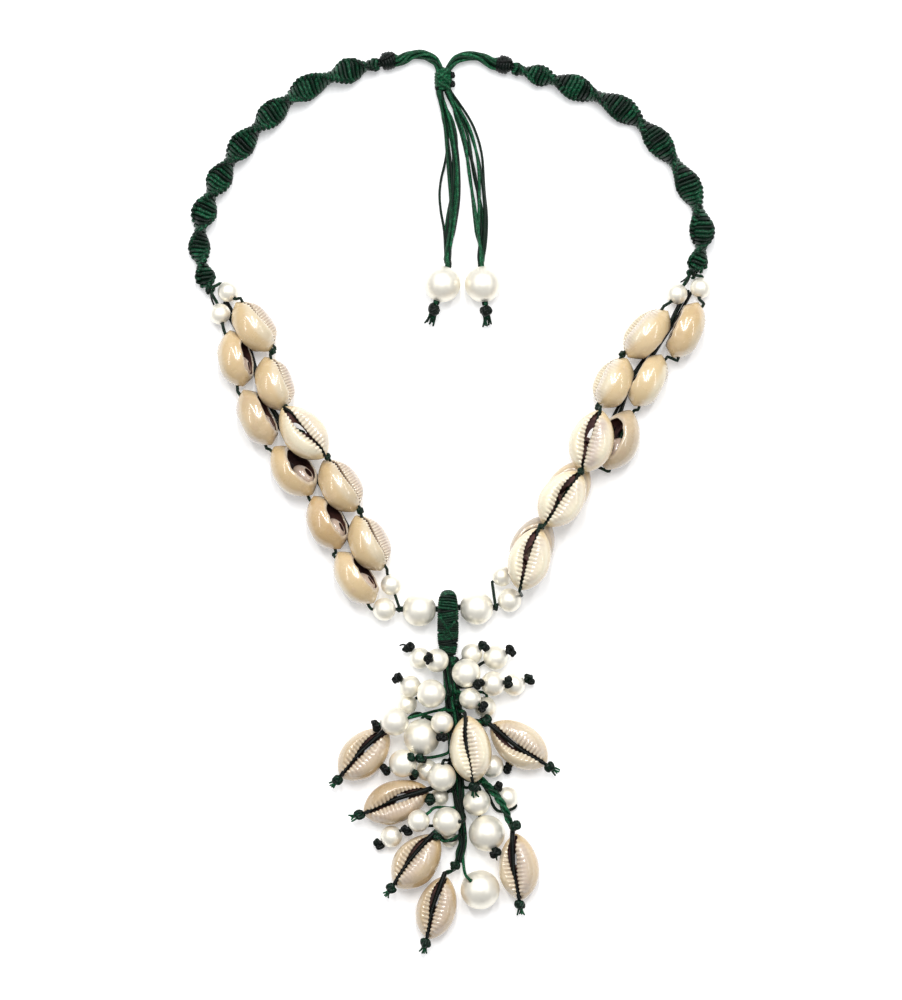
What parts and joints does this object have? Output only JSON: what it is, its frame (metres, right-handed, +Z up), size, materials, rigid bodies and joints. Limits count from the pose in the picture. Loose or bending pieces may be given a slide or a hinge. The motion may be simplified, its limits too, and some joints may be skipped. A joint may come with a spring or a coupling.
{
  "type": "cowrie shell necklace",
  "caption": "Necklace of cut cowries sewn back to back in two strands, with knotted neck bands, a sliding tie and a hanging cluster of cowries and pearls, laid flat.",
  "frame": {"origin": "middle of the footprint, on the surface the necklace lies on", "axes": "+X to the right in the pictured layout, +Y from the pendant up to the sliding knot at the nape, +Z up off the surface"},
  "size_m": [0.1504, 0.2577, 0.0166],
  "materials": {
    "waxed_cord": "dark green waxed cotton cord, slightly glossy",
    "knot_cord": "near-black green waxed cord drawn tight",
    "cowrie_shell": "glossy cream shell, dark inside the cut back",
    "pearl": "ivory pearl lacquer with a soft broad highlight"
  },
  "bodies": {
    "root": {"macrame_left": "waxed_cord", "macrame_right": "waxed_cord", "stopper_knot_left": "knot_cord", "stopper_knot_right": "knot_cord", "back_strands_left": "waxed_cord", "back_strands_right": "waxed_cord", "sliding_knot": "knot_cord", "tie_cord_left": "waxed_cord", "tie_cord_right": "waxed_cord", "tie_pearl_left": "pearl", "tie_pearl_right": "pearl", "tie_end_knot_left": "knot_cord", "tie_end_knot_right": "knot_cord", "shell_thread_left": "waxed_cord", "shell_thread_right": "waxed_cord", "bail_wrap": "waxed_cord", "pendant_cords": "waxed_cord", "pendant_pearls_upper": "pearl", "pendant_pearls_lower": "pearl", "shell_left_inner_1": "cowrie_shell", "shell_left_inner_2": "cowrie_shell", "shell_left_inner_3": "cowrie_shell", "shell_left_inner_4": "cowrie_shell", "shell_left_inner_5": "cowrie_shell", "shell_left_outer_1": "cowrie_shell", "shell_left_outer_2": "cowrie_shell", "shell_left_outer_3": "cowrie_shell", "shell_left_outer_4": "cowrie_shell", "shell_left_outer_5": "cowrie_shell", "shell_right_inner_1": "cowrie_shell", "shell_right_inner_2": "cowrie_shell", "shell_right_inner_3": "cowrie_shell", "shell_right_inner_4": "cowrie_shell", "shell_right_inner_5": "cowrie_shell", "shell_right_outer_1": "cowrie_shell", "shell_right_outer_2": "cowrie_shell", "shell_right_outer_3": "cowrie_shell", "shell_right_outer_4": "cowrie_shell", "shell_right_outer_5": "cowrie_shell", "neck_pearl_left_inner": "pearl", "neck_pearl_left_outer": "pearl", "neck_pearl_right_inner": "pearl", "neck_pearl_right_outer": "pearl", "collar_pearl_left_inner": "pearl", "collar_pearl_left_outer": "pearl", "collar_pearl_right_inner": "pearl", "collar_pearl_right_outer": "pearl", "collar_pearl_large_left": "pearl", "collar_pearl_large_right": "pearl", "pendant_shell_1": "cowrie_shell", "pendant_shell_2": "cowrie_shell", "pendant_shell_3": "cowrie_shell", "pendant_shell_4": "cowrie_shell", "pendant_shell_5": "cowrie_shell", "pendant_shell_6": "cowrie_shell", "pendant_shell_7": "cowrie_shell", "pendant_pearl_large_1": "pearl", "pendant_pearl_large_2": "pearl", "pendant_pearl_large_3": "pearl"}
  },
  "joints": []
}
